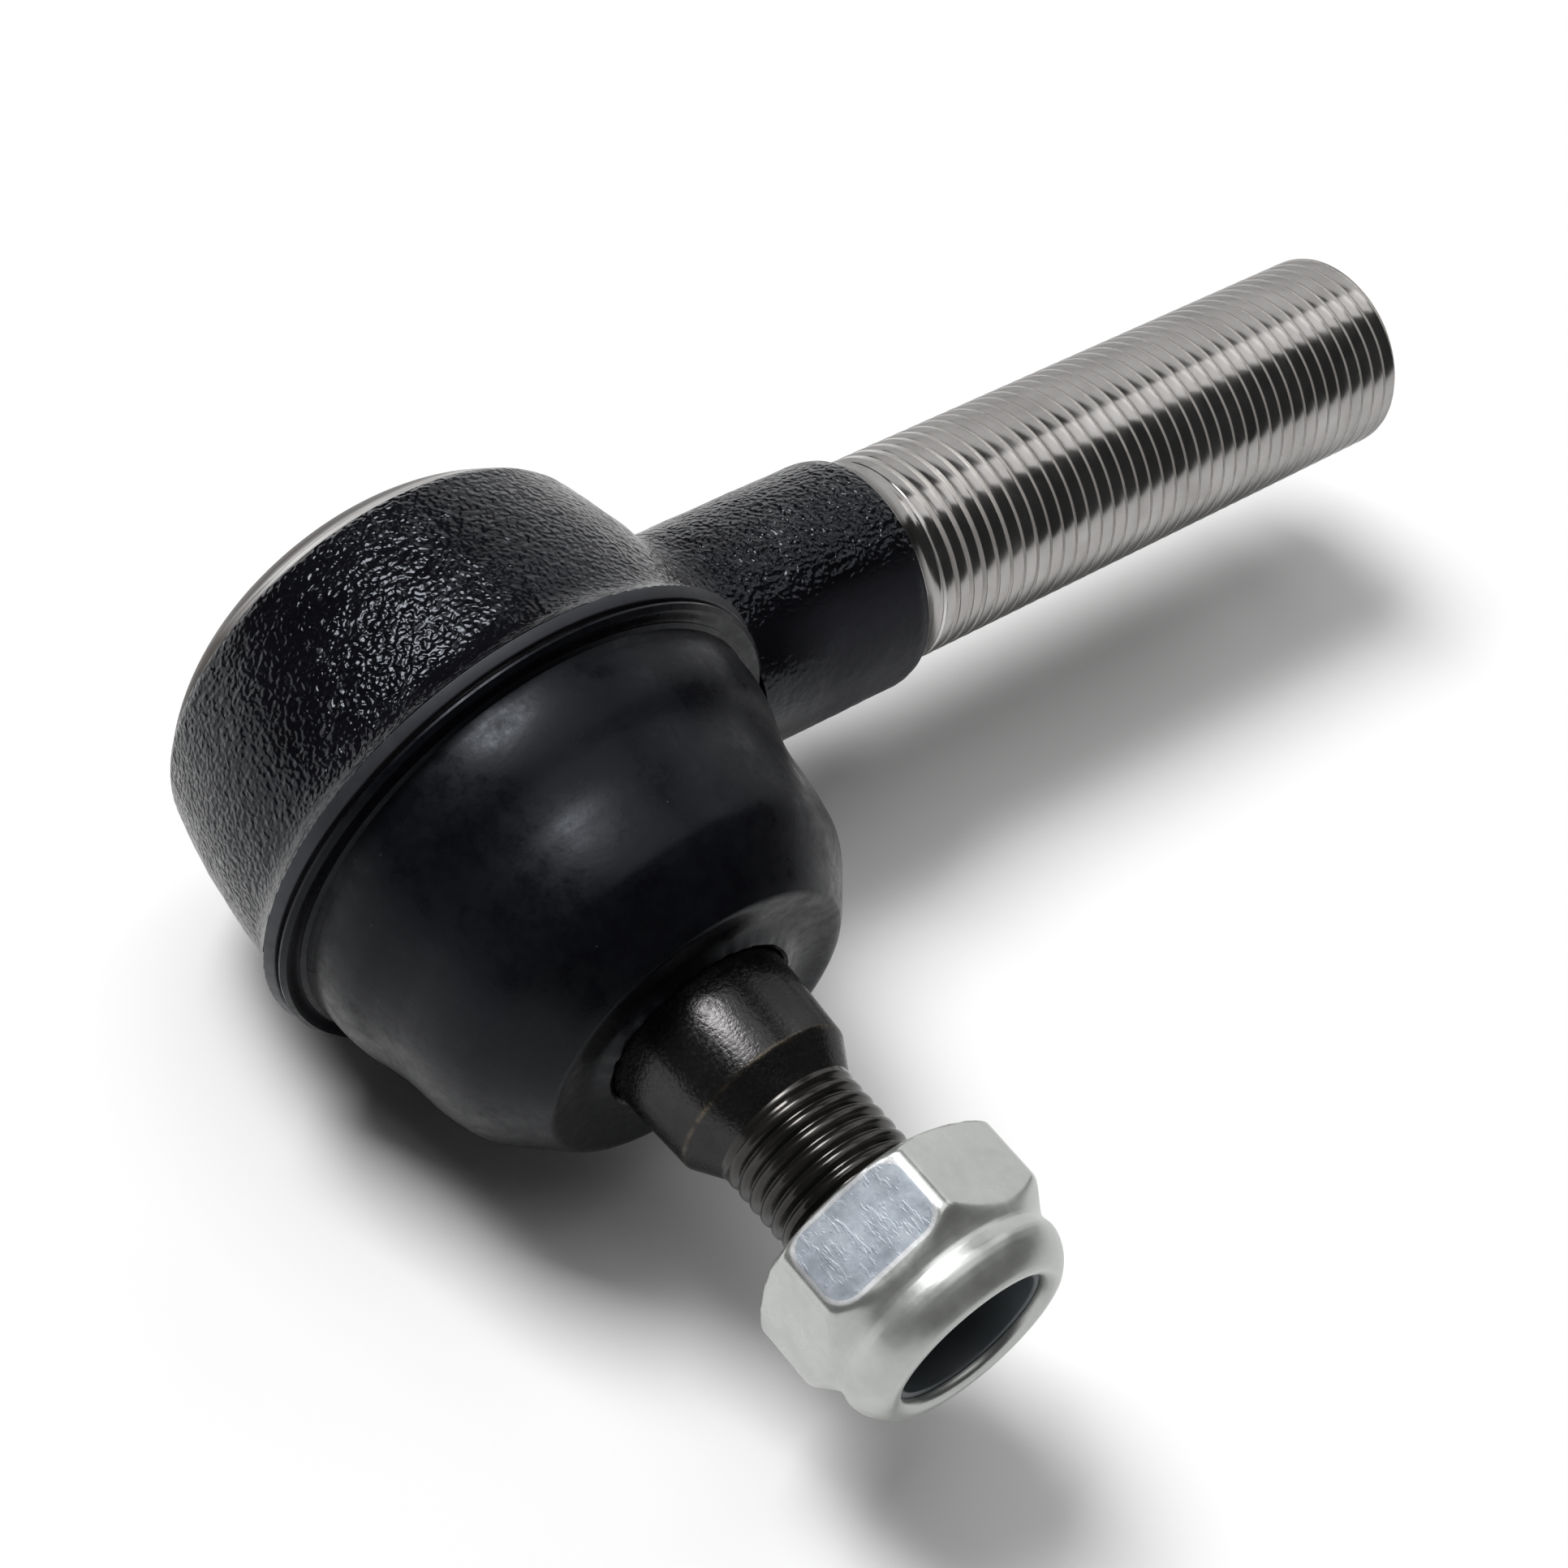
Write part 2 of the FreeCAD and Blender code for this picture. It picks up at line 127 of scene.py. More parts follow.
# Nut: its turn is in degrees, and its envelope is the turned shape that bounds the hexagon
NUT_FLATS, NUT_BASE_S, NUT_TOP_S = 19.2, 49.2, 61.4
NUT_TURN, NUT_BORE_R, NUT_MOUTH_R = 36.5, 6.05, 6.5
NUT_THREAD_S, NUT_THREAD_END_S, NUT_THREAD_DEPTH = 57.1, 50.4, 0.45
NUT_CORNER_ROUND, NUT_CHAMFER_ROUND = 0.75, 0.40
NUT_ENVELOPE_S = (49.2, 49.55, 50.3, 55.0, 55.5, 56.0, 56.5, 57.0, 57.4, 57.8,
                  58.2, 58.6, 59.0, 59.5, 60.0, 60.4, 60.8, 61.1, 61.3, 61.4)
NUT_ENVELOPE_R = (9.25, 10.35, 11.4, 11.3, 10.88, 10.42, 9.95, 9.60, 9.40, 9.34,
                  9.42, 9.50, 9.46, 9.32, 9.08, 8.82, 8.48, 8.15, 7.88, 7.6)
# The front facet's patch: its half sizes, middle and corner rounding; it is scratched and painted with a
# bluish reflection and a bright edge highlight
FACET_HALF, FACET_MIDDLE_S, FACET_ROUND = (4.9, 3.0), 52.75, 1.8
INSERT_R, INSERT_OUT_R, INSERT_S, INSERT_TOP_S = 6.0, 7.85, 57.55, 60.5

# Studio, in metres and degrees: name, azimuth, elevation, distance, size and radiance of each light
LIGHTS = (("key", 118, 63, 1.30, (0.50, 0.50), 21.0),
          ("top", 90, 88, 1.80, (1.6, 1.6), 1.4),
          ("back", 33, 22, 1.40, (1.35, 1.15), 0.85),
          ("strip", 3, 47, 1.50, (0.56, 0.60), 1.25))
LIGHT_TARGET = (0.02, -0.02, 0.0)
WORLD_LIGHT = 0.04
FLOOR_HALF = 3.0


# ---------------------------------------------------------------- mesh tools

def smooth_step(value, low, high):
    """0 below low, 1 above high, and a smooth rise between them."""
    t = np.clip((value - low) / (high - low), 0.0, 1.0)
    return t * t * (3 - 2 * t)


def make_object(name, points, faces):
    """Smooth mesh object from points in mm."""
    mesh = bpy.data.meshes.new(name)
    mesh.from_pydata((np.asarray(points, float) * MM).tolist(), [], faces)
    mesh.validate()
    piece = bpy.data.objects.new(name, mesh)
    bpy.context.scene.collection.objects.link(piece)
    mesh.shade_smooth()
    return piece


def tidy_mesh(piece, weld=0.002):
    """Welds doubled points, drops empty faces and turns every face outwards."""
    bm = bmesh.new()
    bm.from_mesh(piece.data)
    bmesh.ops.remove_doubles(bm, verts=bm.verts, dist=weld * MM)
    bmesh.ops.dissolve_degenerate(bm, edges=bm.edges, dist=weld * MM * 0.5)
    bmesh.ops.recalc_face_normals(bm, faces=bm.faces)
    bm.to_mesh(piece.data)
    bm.free()
    return piece


def crisp(piece, angle_deg=32):
    """Smooth shading that stays sharp at real edges."""
    mesh = piece.data
    mesh.shade_smooth()
    mesh.set_sharp_from_angle(angle=math.radians(angle_deg))
    return piece


def arc(start, middle, end, count):
    """Points of the circle through three points, after start and up to end."""
    (ax, ay), (bx, by), (cx, cy) = start, middle, end
    d = 2 * (ax * (by - cy) + bx * (cy - ay) + cx * (ay - by))
    ux = ((ax**2 + ay**2) * (by - cy) + (bx**2 + by**2) * (cy - ay) + (cx**2 + cy**2) * (ay - by)) / d
    uy = ((ax**2 + ay**2) * (cx - bx) + (bx**2 + by**2) * (ax - cx) + (cx**2 + cy**2) * (bx - ax)) / d
    radius = math.hypot(ax - ux, ay - uy)
    first = math.atan2(ay - uy, ax - ux)
    turn = [(math.atan2(y - uy, x - ux) - first) % math.tau for x, y in ((bx, by), (cx, cy))]
    sweep = turn[1] if turn[0] < turn[1] else turn[1] - math.tau
    angles = [first + sweep * (i + 1) / count for i in range(count)]
    return [(ux + radius * math.cos(a), uy + radius * math.sin(a)) for a in angles]


def spline(knots, count):
    """Smooth curve through the knots, with count points for each gap."""
    ends = [2 * Vector(knots[0]) - Vector(knots[1])], [2 * Vector(knots[-1]) - Vector(knots[-2])]
    line = ends[0] + [Vector(knot) for knot in knots] + ends[1]
    result = [knots[0]]
    for a, b, c, d in zip(line, line[1:], line[2:], line[3:]):
        for step in range(count):
            t = (step + 1) / count
            square, cube = 2 * a - 5 * b + 4 * c - d, 3 * b - a - 3 * c + d
            p = 0.5 * (2 * b + (c - a) * t + square * t**2 + cube * t**3)
            result.append((p.x, p.y))
    return result


def rounded(points, radius, closed=True, count=3):
    """The outline with its corners rounded by up to radius."""
    result = []
    total = len(points)
    for i, here in enumerate(points):
        before, after = points[i - 1], points[(i + 1) % total]
        if not closed and i in (0, total - 1):
            result.append(here)
            continue
        to_before = Vector(before) - Vector(here)
        to_after = Vector(after) - Vector(here)
        bend = to_before.angle(-to_after, 0.0)
        if bend < math.radians(20):  # nearly straight on
            result.append(here)
            continue
        reach = min(radius, to_before.length * 0.45, to_after.length * 0.45)
        a = Vector(here) + to_before.normalized() * reach
        b = Vector(here) + to_after.normalized() * reach
        for step in range(count + 1):
            t = step / count
            p = a * (1 - t) ** 2 + Vector(here) * 2 * t * (1 - t) + b * t**2
            result.append((p.x, p.y))
    return result


def lathe(name, outline, about, turns=128, closed=True):
    """Solid of revolution of an outline of (radius, distance) about the stud or the shank."""
    points, faces = [], []
    rows = len(outline)
    for j in range(turns):
        angle = math.tau * j / turns
        for radius, along in outline:
            a, b = radius * math.cos(angle), radius * math.sin(angle)
            points.append((a, -along, b) if about == "stud" else (along, a, b))
    for j in range(turns):
        this, following = j * rows, (j + 1) % turns * rows
        for i in range(rows if closed else rows - 1):
            k = (i + 1) % rows
            faces.append((this + i, this + k, following + k, following + i))
    return crisp(tidy_mesh(make_object(name, points, faces)))


def thread_marks(*crests):
    """Places within one pitch where a thread with these shares of crest needs a row of points."""
    marks = set()
    for crest in crests:
        flank = (1 - crest - THREAD_ROOT) / 2
        marks.update([0.0, 0.12 * crest, 0.32 * crest, 0.5 * crest, 0.68 * crest, 0.88 * crest, crest])
        marks.update(crest + flank * share for share in (0.15, 0.5, 1.0))
        marks.update(1 - flank * share for share in (1.0, 0.5, 0.15))
    return np.array(sorted(marks))


def helix(name, about, start, end, pitch, marks, radius_at, head, tail, turns=120):
    """Threaded rod: rows that follow the thread from start to end, between a head and a tail outline."""
    first = math.floor(start / pitch) - 2
    last = math.ceil(end / pitch) + 1
    rows = np.concatenate([marks + k for k in range(first, last)])
    angles = np.arange(turns + 1) / turns
    points, faces = [], []
    for j, share in enumerate(angles):
        along = np.clip((rows + share) * pitch, start, end)
        radii = radius_at(along, share)
        column = list(head) + list(zip(radii, along)) + list(tail)
        for radius, distance in column:
            a = radius * math.cos(math.tau * share)
            b = radius * math.sin(math.tau * share)
            points.append((a, -distance, -b) if about == "stud" else (distance, a, b))
    count = len(head) + len(rows) + len(tail)
    for j in range(turns):
        for i in range(count - 1):
            a = j * count + i
            faces.append((a, a + 1, a + 1 + count, a + count))
    return tidy_mesh(make_object(name, points, faces))


def thread_drop(phase, crest, depth, swell, round_off):
    """Depth below the thread's top, for a crest that takes that share of the pitch and bulges by swell."""
    phase = phase % 1.0
    middle = (1 + crest) / 2
    flank = np.clip(1 - (np.abs(phase - middle) - THREAD_ROOT / 2) / ((1 - crest - THREAD_ROOT) / 2), 0, 1)
    bulge = swell * np.clip(2 * phase / crest - 1, -1, 1) ** 2
    return bulge + (depth - swell) * (flank * (1 - round_off) + smooth_step(flank, 0, 1) * round_off)


# ------------------------------------------------------------ material tools

class Nodes:
    """Short hand for building one node material."""

    def __init__(self, name):
        self.material = bpy.data.materials.new(name)
        self.material.use_nodes = True
        self.tree = self.material.node_tree
        self.shader = self.tree.nodes["Principled BSDF"]
        self.place = self.add("ShaderNodeTexCoord").outputs["Object"]

    def add(self, kind, **settings):
        node = self.tree.nodes.new(kind)
        for key, value in settings.items():
            setattr(node, key, value)
        return node

    def link(self, output, target):
        self.tree.links.new(output, target)

    def put(self, node, name, value):
        """Sets a socket to a value, or links an output to it."""
        socket = node.inputs[name]
        if isinstance(value, bpy.types.NodeSocket):
            self.link(value, socket)
        else:
            socket.default_value = value

    def noise(self, scale, detail=4.0, rough=0.55, distort=0.0, place=None):
        node = self.add("ShaderNodeTexNoise")
        self.put(node, "Vector", place or self.place)
        self.put(node, "Scale", scale)
        self.put(node, "Detail", detail)
        self.put(node, "Roughness", rough)
        self.put(node, "Distortion", distort)
        return node.outputs["Fac"]

    def voronoi(self, scale):
        node = self.add("ShaderNodeTexVoronoi")
        self.put(node, "Vector", self.place)
        self.put(node, "Scale", scale)
        return node.outputs["Distance"]

    def ramp(self, value, *stops):
        """Ramp of (position, grey or colour) stops."""
        node = self.add("ShaderNodeValToRGB")
        while len(node.color_ramp.elements) < len(stops):
            node.color_ramp.elements.new(0.5)
        for element, (position, tone) in zip(node.color_ramp.elements, stops):
            element.position = position
            element.color = (*tone, 1) if isinstance(tone, tuple) else (tone, tone, tone, 1)
        self.put(node, "Fac", value)
        return node.outputs["Color"]

    def math(self, operation, a, b=0.0):
        node = self.add("ShaderNodeMath", operation=operation)
        for index, value in enumerate((a, b)):
            self.put(node, index, value)
        return node.outputs[0]

    def plus(self, a, b):
        return self.math("ADD", a, b)

    def minus(self, a, b):
        return self.math("SUBTRACT", a, b)

    def times(self, a, b):
        return self.math("MULTIPLY", a, b)

    def mix(self, share, a, b):
        """Colour a where the share is 0 and colour b where it is 1."""
        node = self.add("ShaderNodeMix", data_type="RGBA")
        for index, value in ((0, share), (6, a), (7, b)):
            self.put(node, index, (*value, 1) if isinstance(value, tuple) else value)
        return node.outputs[2]

    def axes(self):
        """The X, Y and Z of the place, in metres."""
        parts = self.add("ShaderNodeSeparateXYZ")
        self.link(self.place, parts.inputs[0])
        return [parts.outputs[axis] for axis in "XYZ"]

    def stretched(self, x, y, z):
        node = self.add("ShaderNodeMapping")
        self.put(node, "Vector", self.place)
        node.inputs["Scale"].default_value = (x, y, z)
        return node.outputs["Vector"]

    def bump(self, height, strength, distance, after=None):
        node = self.add("ShaderNodeBump")
        self.put(node, "Height", height)
        self.put(node, "Strength", strength)
        self.put(node, "Distance", distance * MM)
        if after is not None:
            self.link(after, node.inputs["Normal"])
        return node.outputs["Normal"]

    def below(self, value, level, width):
        """0 where a length is over the level in mm, rising to 1 within the width under it."""
        share = self.times(self.minus(level * MM, value), 1 / (width * MM))
        return self.math("MINIMUM", self.math("MAXIMUM", share, 0.0), 1.0)

    def above(self, value, level, width):
        """The other way round: 1 over the level, falling to 0 within the width under it."""
        return self.minus(1.0, self.below(value, level, width))

    def finish(self, **sockets):
        for name, value in sockets.items():
            self.put(self.shader, name.replace("_", " "), value)
        return self.material


def paint(piece, material):
    """Gives the piece this one material."""
    piece.data.materials.clear()
    piece.data.materials.append(material)
    return piece


# ----------------------------------------------------------------- materials

COOL_SHEEN = (0.86, 0.91, 1.0, 1.0)
DULL_EDGE = (0.5, 0.5, 0.5, 1.0)

# Where finishes change: the neck's underside (painted fill light), the rim's darker outer slope and side,
# the nut's collar
UNDERSIDE_Z, UNDERSIDE_X = 8.5, 30.0
SLOPE_Y, DARK_SIDE_X = 12.3, -10.5
NUT_COLLAR_S = 56.4


def black_coat():
    """Thick glossy black paint with an orange-peel skin, calmer on the underside of the neck, which is
    painted lighter as fill light.
    """
    n = Nodes("black_coat")
    x, y, z = n.axes()
    off_flange = n.below(n.times(y, -1.0), BAND_S - 0.3, 1.8)
    underside_fill_and_calm = n.times(n.below(z, UNDERSIDE_Z, 3.5), n.above(x, UNDERSIDE_X, 6.0))
    calm = n.minus(1.0, n.times(underside_fill_and_calm, 0.42))
    calm = n.times(calm, n.plus(n.times(off_flange, 0.85), 0.15))
    worms = n.math("ABSOLUTE", n.minus(n.noise(1000, detail=0.0, distort=0.5), 0.5))
    ridges = n.minus(1.0, n.math("MINIMUM", n.times(worms, 6.0), 1.0))
    peel = n.noise(2300, detail=0.0, distort=0.25)
    patch = n.ramp(n.noise(60, detail=3.0), (0.36, 0.45), (0.62, 1.0))
    height = n.plus(n.times(ridges, 0.22), peel)
    normal = n.bump(n.times(height, n.times(patch, calm)), 1.0, 0.25)
    smears = n.noise(120, detail=5.0)
    gloss = n.ramp(smears, (0.35, (0.0020, 0.0020, 0.0030)), (0.7, (0.0040, 0.0041, 0.0058)))
    # Painted fill light: the neck's underside is coloured lighter to lift its shade.
    colour = n.mix(underside_fill_and_calm, gloss, (0.0330, 0.0335, 0.0395))
    rough = n.ramp(n.noise(500, detail=4.0), (0.3, 0.13), (0.75, 0.22))
    sheen = n.minus(0.25, n.times(underside_fill_and_calm, 0.20))
    rough = n.plus(rough, n.times(underside_fill_and_calm, 0.14))
    return n.finish(Base_Color=colour, Roughness=rough, Normal=normal, Specular_IOR_Level=sheen,
                    Specular_Tint=COOL_SHEEN)


def smooth_coat():
    """The same paint on the machined edge beside the boot."""
    n = Nodes("smooth_coat")
    colour = n.ramp(n.noise(300), (0.3, (0.016, 0.016, 0.018)), (0.8, (0.028, 0.028, 0.032)))
    rough = n.ramp(n.noise(700), (0.3, 0.40), (0.7, 0.58))
    normal = n.bump(n.noise(1200, detail=2.0), 0.15, 0.05)
    return n.finish(Base_Color=colour, Roughness=rough, Normal=normal, Specular_Tint=COOL_SHEEN)


def turned_steel():
    """Threaded steel: smooth rolled crests, dull bright flanks, and painted shade at the bottom of the
    grooves.
    """
    n = Nodes("turned_steel")
    _, y, z = n.axes()
    radius = n.math("SQRT", n.plus(n.times(y, y), n.times(z, z)))
    flank = n.below(radius, FLANK_R, 0.05)
    # Painted shade: the bottoms of the grooves are coloured near black.
    groove_shade = n.below(radius, GROOVE_SHADE_R, 0.10)
    lines = n.noise(1.0, detail=3.0, place=n.stretched(14000, 60, 60))
    smears = n.noise(260, detail=5.0, distort=0.6)
    crest = n.ramp(smears, (0.25, (0.33, 0.318, 0.31)), (0.75, (0.46, 0.447, 0.438)))
    colour = n.mix(groove_shade, n.mix(flank, crest, (0.80, 0.785, 0.77)), (0.030, 0.028, 0.026))
    rough = n.plus(n.times(flank, 0.30), n.plus(n.times(lines, 0.10), n.times(smears, 0.24)))
    return n.finish(Base_Color=colour, Metallic=1.0, Roughness=rough, Normal=n.bump(lines, 0.12, 0.02),
                    Specular_Tint=DULL_EDGE)


def rim_steel():
    """Bare steel of the rolled rim, brushed by the tool, and darker, with duller edge reflections, on its
    outer slope and on one side.
    """
    n = Nodes("rim_steel")
    x, y, _ = n.axes()
    lines = n.noise(1.0, detail=3.0, rough=0.65, place=n.stretched(90, 3800, 90))
    smears = n.noise(160, detail=4.0, distort=1.2)
    streaks = n.plus(n.times(lines, 0.7), n.times(smears, 0.3))
    # Darker colour and duller edge tint towards -X and on the outer slope.
    dark_side = n.times(n.below(x, DARK_SIDE_X, 5.5), 0.85)
    darkening = n.math("MAXIMUM", n.times(n.above(y, SLOPE_Y, 0.9), 0.75), dark_side)
    steel = n.ramp(streaks, (0.38, (0.25, 0.242, 0.238)), (0.60, (0.80, 0.79, 0.785)))
    colour = n.mix(darkening, steel, (0.15, 0.142, 0.138))
    edge = n.mix(darkening, (0.75, 0.745, 0.74), (0.20, 0.19, 0.185))
    rough = n.plus(n.times(lines, 0.26), n.times(smears, 0.20))
    normal = n.bump(lines, 0.55, 0.05)
    return n.finish(Base_Color=colour, Metallic=1.0, Roughness=rough, Normal=normal, Specular_Tint=edge)


def boot_rubber():
    """Satin blue-black rubber with a greasy bloom, and a little dust."""
    n = Nodes("boot_rubber")
    cloud = n.noise(70, detail=5.0, rough=0.6)
    grain = n.noise(2600, detail=2.0)
    clean = n.ramp(cloud, (0.30, (0.0016, 0.0017, 0.0026)), (0.72, (0.0040, 0.0042, 0.0060)))
    specks = n.math("LESS_THAN", n.voronoi(300), 0.022)
    colour = n.mix(n.times(specks, 0.4), clean, (0.06, 0.064, 0.075))
    bloom = n.plus(n.times(n.noise(520, detail=6.0, rough=0.8), 0.7),
                   n.times(n.noise(110, detail=4.0), 0.3))
    rough = n.ramp(bloom, (0.42, 0.26), (0.60, 0.46))
    flow = n.noise(190, detail=3.0, distort=0.8)
    normal = n.bump(grain, 0.20, 0.03, after=n.bump(flow, 0.26, 0.14))
    return n.finish(Base_Color=colour, Roughness=rough, Normal=normal, Specular_IOR_Level=0.16,
                    Specular_Tint=COOL_SHEEN)


def phosphated_steel():
    """Dark phosphated steel of the stud, slightly oily, with a worn brown line at the taper's end."""
    n = Nodes("phosphated_steel")
    _, y, _ = n.axes()
    off_line = n.math("ABSOLUTE", n.plus(y, (TAPER_END_S + 0.05) * MM))
    grain = n.noise(3400, detail=2.0)
    wear = n.ramp(n.noise(700, detail=3.0), (0.38, 0.05), (0.62, 0.8))
    worn = n.times(n.below(off_line, 0.24, 0.22), wear)
    tone = n.noise(160, detail=5.0)
    dark = n.ramp(tone, (0.3, (0.027, 0.0262, 0.0268)), (0.7, (0.050, 0.048, 0.0475)))
    colour = n.mix(worn, dark, (0.13, 0.112, 0.085))
    rough = n.ramp(grain, (0.35, 0.16), (0.65, 0.31))
    return n.finish(Base_Color=colour, Metallic=0.85, Roughness=rough, Normal=n.bump(grain, 0.55, 0.05),
                    Specular_Tint=DULL_EDGE)


def oily_thread():
    """Black oiled steel of the stud's thread."""
    n = Nodes("oily_thread")
    tone = n.noise(300, detail=4.0)
    colour = n.ramp(tone, (0.3, (0.028, 0.0265, 0.0255)), (0.7, (0.056, 0.053, 0.050)))
    rough = n.ramp(tone, (0.3, 0.14), (0.7, 0.28))
    normal = n.bump(n.noise(1500), 0.12, 0.04)
    return n.finish(Base_Color=colour, Metallic=0.8, Roughness=rough, Normal=normal)


def zinc_plate():
    """Bright zinc plate, finely mottled, with one facet that is scratched and painted with a bluish
    reflection and a bright edge highlight.
    """
    n = Nodes("zinc_plate")
    x, y, z = n.axes()
    turn = math.radians(NUT_TURN + 90)
    across = n.plus(n.times(x, math.cos(turn)), n.times(z, math.sin(turn)))
    beside = n.minus(n.times(z, math.cos(turn)), n.times(x, math.sin(turn)))
    along = n.plus(y, FACET_MIDDLE_S * MM)
    flat = n.above(across, NUT_FLATS / 2 - 0.02, 0.06)
    past = [n.math("MAXIMUM", n.minus(n.math("ABSOLUTE", gap), (half - FACET_ROUND) * MM), 0.0)
            for gap, half in zip((beside, along), FACET_HALF)]
    outside = n.math("SQRT", n.plus(*(n.math("POWER", gap, 2.0) for gap in past)))
    inside = n.below(outside, FACET_ROUND, 0.10)
    # Painted reflection: the front facet is coloured bluish where the key light reflects; its scratches are
    # real bumps.
    scratches_and_reflection = n.times(flat, inside)
    # Painted highlight: a near-white band round the front facet's rolled edge.
    rolled = n.times(n.minus(n.below(outside, FACET_ROUND + 0.35, 0.15), inside), flat)
    cloud = n.noise(330, detail=6.0, rough=0.65)
    plain = n.ramp(cloud, (0.3, (0.44, 0.455, 0.44)), (0.7, (0.56, 0.575, 0.555)))
    mottle = n.noise(700, detail=5.0, rough=0.7)
    # Bluish colour of the painted reflection on the front facet.
    blue = n.ramp(mottle, (0.3, (0.31, 0.345, 0.40)), (0.7, (0.47, 0.51, 0.56)))
    colour = n.mix(rolled, n.mix(scratches_and_reflection, plain, blue), (0.97, 0.98, 1.0))
    lines = n.noise(1.0, detail=3.0, rough=0.7, place=n.stretched(1500, 330, 1500))
    strokes = n.ramp(lines, (0.56, 0.0), (0.60, 1.0))
    dents = n.ramp(n.noise(1500, detail=3.0), (0.60, 0.0), (0.68, 1.0))
    marks = n.times(n.plus(strokes, dents), n.plus(n.times(scratches_and_reflection, 0.32), 0.03))
    collar = n.above(n.times(y, -1.0), NUT_COLLAR_S, 1.2)
    dull = n.plus(n.times(scratches_and_reflection, 0.08), n.times(collar, 0.10))
    rough = n.plus(n.times(cloud, 0.34), n.plus(dull, 0.09))
    height = n.plus(n.noise(900, detail=4.0), n.times(marks, 1.2))
    return n.finish(Base_Color=colour, Metallic=0.78, Roughness=rough, Normal=n.bump(height, 0.16, 0.05))


def slate_nylon():
    """Dark slate nylon."""
    n = Nodes("slate_nylon")
    colour = n.ramp(n.noise(200), (0.3, (0.070, 0.082, 0.094)), (0.7, (0.105, 0.120, 0.132)))
    rough = n.ramp(n.noise(600), (0.3, 0.35), (0.7, 0.5))
    return n.finish(Base_Color=colour, Roughness=rough, Normal=n.bump(n.noise(900), 0.1, 0.05))


def plain_steel(name, tone, rough_low):
    """Satin steel of a hidden or minor piece."""
    n = Nodes(name)
    cloud = n.noise(200, detail=5.0)
    colour = n.ramp(cloud, (0.3, (tone * 0.85,) * 3), (0.7, (tone,) * 3))
    rough = n.ramp(n.noise(500, detail=4.0), (0.3, rough_low), (0.7, rough_low + 0.18))
    normal = n.bump(n.noise(900), 0.1, 0.04)
    return n.finish(Base_Color=colour, Metallic=1.0, Roughness=rough, Normal=normal)


def acetal():
    """Off-white bearing plastic."""
    n = Nodes("acetal")
    colour = n.ramp(n.noise(150), (0.3, (0.72, 0.71, 0.64)), (0.7, (0.80, 0.79, 0.72)))
    rough = n.ramp(n.noise(500), (0.3, 0.38), (0.7, 0.5))
    return n.finish(Base_Color=colour, Roughness=rough, Normal=n.bump(n.noise(800), 0.06, 0.05))


def seal_rubber():
    """Black sealing rubber."""
    n = Nodes("seal_rubber")
    colour = n.ramp(n.noise(150), (0.3, (0.010, 0.010, 0.010)), (0.7, (0.018, 0.018, 0.018)))
    return n.finish(Base_Color=colour, Roughness=n.ramp(n.noise(500), (0.3, 0.5), (0.7, 0.65)))


# ------------------------------------------------------------------- housing

def barrel_radius(s):
    """Radius of the coated head at s: a barrel that flares into the flange."""
    flare = FLARE_RISE * np.clip((s - BARREL_S[-1]) / FLARE_LENGTH, 0, 1) ** FLARE_POWER
    return np.interp(s, BARREL_S, BARREL_R) + flare


def neck_radius(x):
    """Radius of the coated neck at x, rounded off at its end."""
    return NECK_R - NECK_DROP * smooth_step(x, NECK_END_X - NECK_ROUND - 0.3, NECK_END_X + 0.1)


def casting_blank():
    """Head and neck as one remeshed solid, longer than needed at every end."""
    levels = np.linspace(COAT_EDGE_S - 1.1, FACE_S - 0.25, 60)
    side = [(float(barrel_radius(s)), float(s)) for s in levels]
    barrel = [(0.0, levels[0])] + side + [(0.0, levels[-1])]
    head = lathe("housing_casting", barrel, "stud", turns=256, closed=False)
    neck_end = NECK_END_X + 1.5
    rod = [(0.0, NECK_START_X), (NECK_R, NECK_START_X), (NECK_R, neck_end), (0.0, neck_end)]
    neck = lathe("casting_neck", rod, "shank", turns=160, closed=False)
    bm = bmesh.new()
    bm.from_mesh(head.data)
    bm.from_mesh(neck.data)
    bm.to_mesh(head.data)
    bm.free()
    bpy.data.objects.remove(neck)
    remesh = head.modifiers.new("remesh", "REMESH")
    remesh.mode = "VOXEL"
    remesh.voxel_size = CASTING_VOXEL * MM
    apply_modifiers(head)
    return head


def apply_modifiers(piece):
    """Replaces the mesh by what its modifiers make of it."""
    evaluated = piece.evaluated_get(bpy.context.evaluated_depsgraph_get())
    mesh = bpy.data.meshes.new_from_object(evaluated)
    piece.modifiers.clear()
    piece.data = mesh
    return piece


def get_points(piece):
    """Places of the mesh's points, in mm."""
    co = np.empty(len(piece.data.vertices) * 3)
    piece.data.vertices.foreach_get("co", co)
    return co.reshape(-1, 3) / MM


def set_points(piece, points):
    """Puts the mesh's points at places in mm."""
    piece.data.vertices.foreach_set("co", (points * MM).ravel())
    piece.data.update()


def edge_pairs(piece):
    """The two points of every edge, as indices."""
    pairs = np.empty(len(piece.data.edges) * 2, int)
    piece.data.edges.foreach_get("vertices", pairs)
    return pairs.reshape(-1, 2)


def relax(points, pairs, weight, rounds):
    """Laplacian smoothing of the weighted points."""
    count = np.bincount(pairs.ravel(), minlength=len(points))[:, None]
    for _ in range(rounds):
        total = np.zeros_like(points)
        np.add.at(total, pairs[:, 0], points[pairs[:, 1]])
        np.add.at(total, pairs[:, 1], points[pairs[:, 0]])
        points = points + weight[:, None] * (total / np.maximum(count, 1) - points) * SEAM_STEP
    return points


def vertex_normals(piece):
    """Outward direction at every point of the mesh."""
    normals = np.empty(len(piece.data.vertices) * 3)
    piece.data.vertices.foreach_get("normal", normals)
    return normals.reshape(-1, 3)


